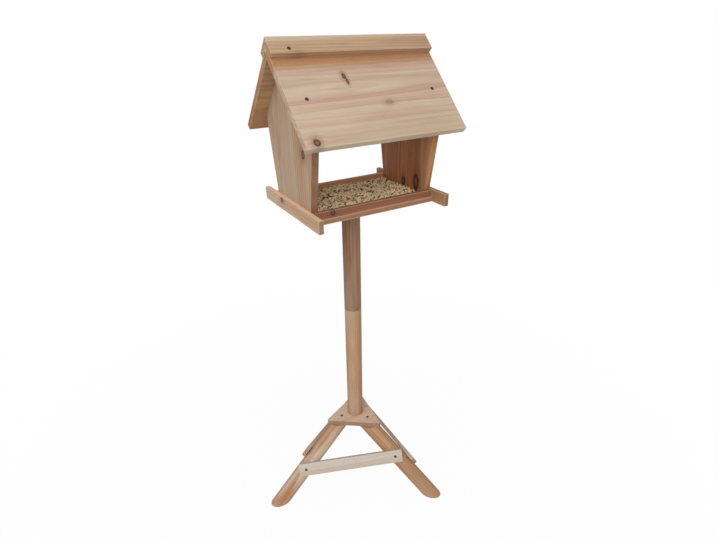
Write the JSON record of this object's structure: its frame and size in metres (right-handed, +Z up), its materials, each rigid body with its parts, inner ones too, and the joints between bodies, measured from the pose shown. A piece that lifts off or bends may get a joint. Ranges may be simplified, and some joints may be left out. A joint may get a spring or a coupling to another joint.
{
  "type": "bird feeder",
  "caption": "Wooden bird table: a small pitched roof on end walls over an open railed tray, carried by a round pole on splayed legs with brace slats.",
  "frame": {"origin": "on the ground, under the middle of the overall box; the pole stands a little to the +X side of it because one leg points to -X", "axes": "+Z up; the open front of the house faces -Y; +X runs along the ridge to the right as seen from the front"},
  "size_m": [0.4772, 0.4939, 1.2068],
  "materials": {
    "roof_wood": "oiled fir boards, satin, horizontal grain with a few knots",
    "cap_wood": "oiled fir strips, satin",
    "wall_wood": "oiled fir boards, satin, upright grain with knots",
    "tray_wood": "oiled fir boards, satin",
    "rail_wood": "oiled fir strips, darker heartwood, satin",
    "pole_wood": "oiled round fir pole, satin",
    "plate_wood": "oiled fir board, satin",
    "leg_wood": "oiled round fir poles, satin",
    "brace_wood": "pale sapwood slats, satin",
    "screw_steel": "small cross-slot wood screws, dulled",
    "seed": "loose mixed wild bird seed, matt"
  },
  "bodies": {
    "root": {"roof_panel_front": "roof_wood", "roof_panel_back": "roof_wood", "ridge_cap_front": "cap_wood", "ridge_cap_back": "cap_wood", "end_wall_left": "wall_wood", "end_wall_right": "wall_wood", "tray_floor": "tray_wood", "side_rail_left": "tray_wood", "side_rail_right": "tray_wood", "front_rail": "rail_wood", "back_rail": "rail_wood", "mounting_block": "rail_wood", "pole_upper": "pole_wood", "pole_lower": "pole_wood", "tripod_plate": "plate_wood", "leg_left": "leg_wood", "leg_front": "leg_wood", "leg_back": "leg_wood", "brace_front": "brace_wood", "brace_right": "brace_wood", "brace_left": "brace_wood", "roof_screws": "screw_steel", "ridge_cap_screws": "screw_steel", "rail_pins": "screw_steel", "block_screws": "screw_steel", "plate_screws": "screw_steel", "brace_screws": "screw_steel"}
  },
  "joints": []
}
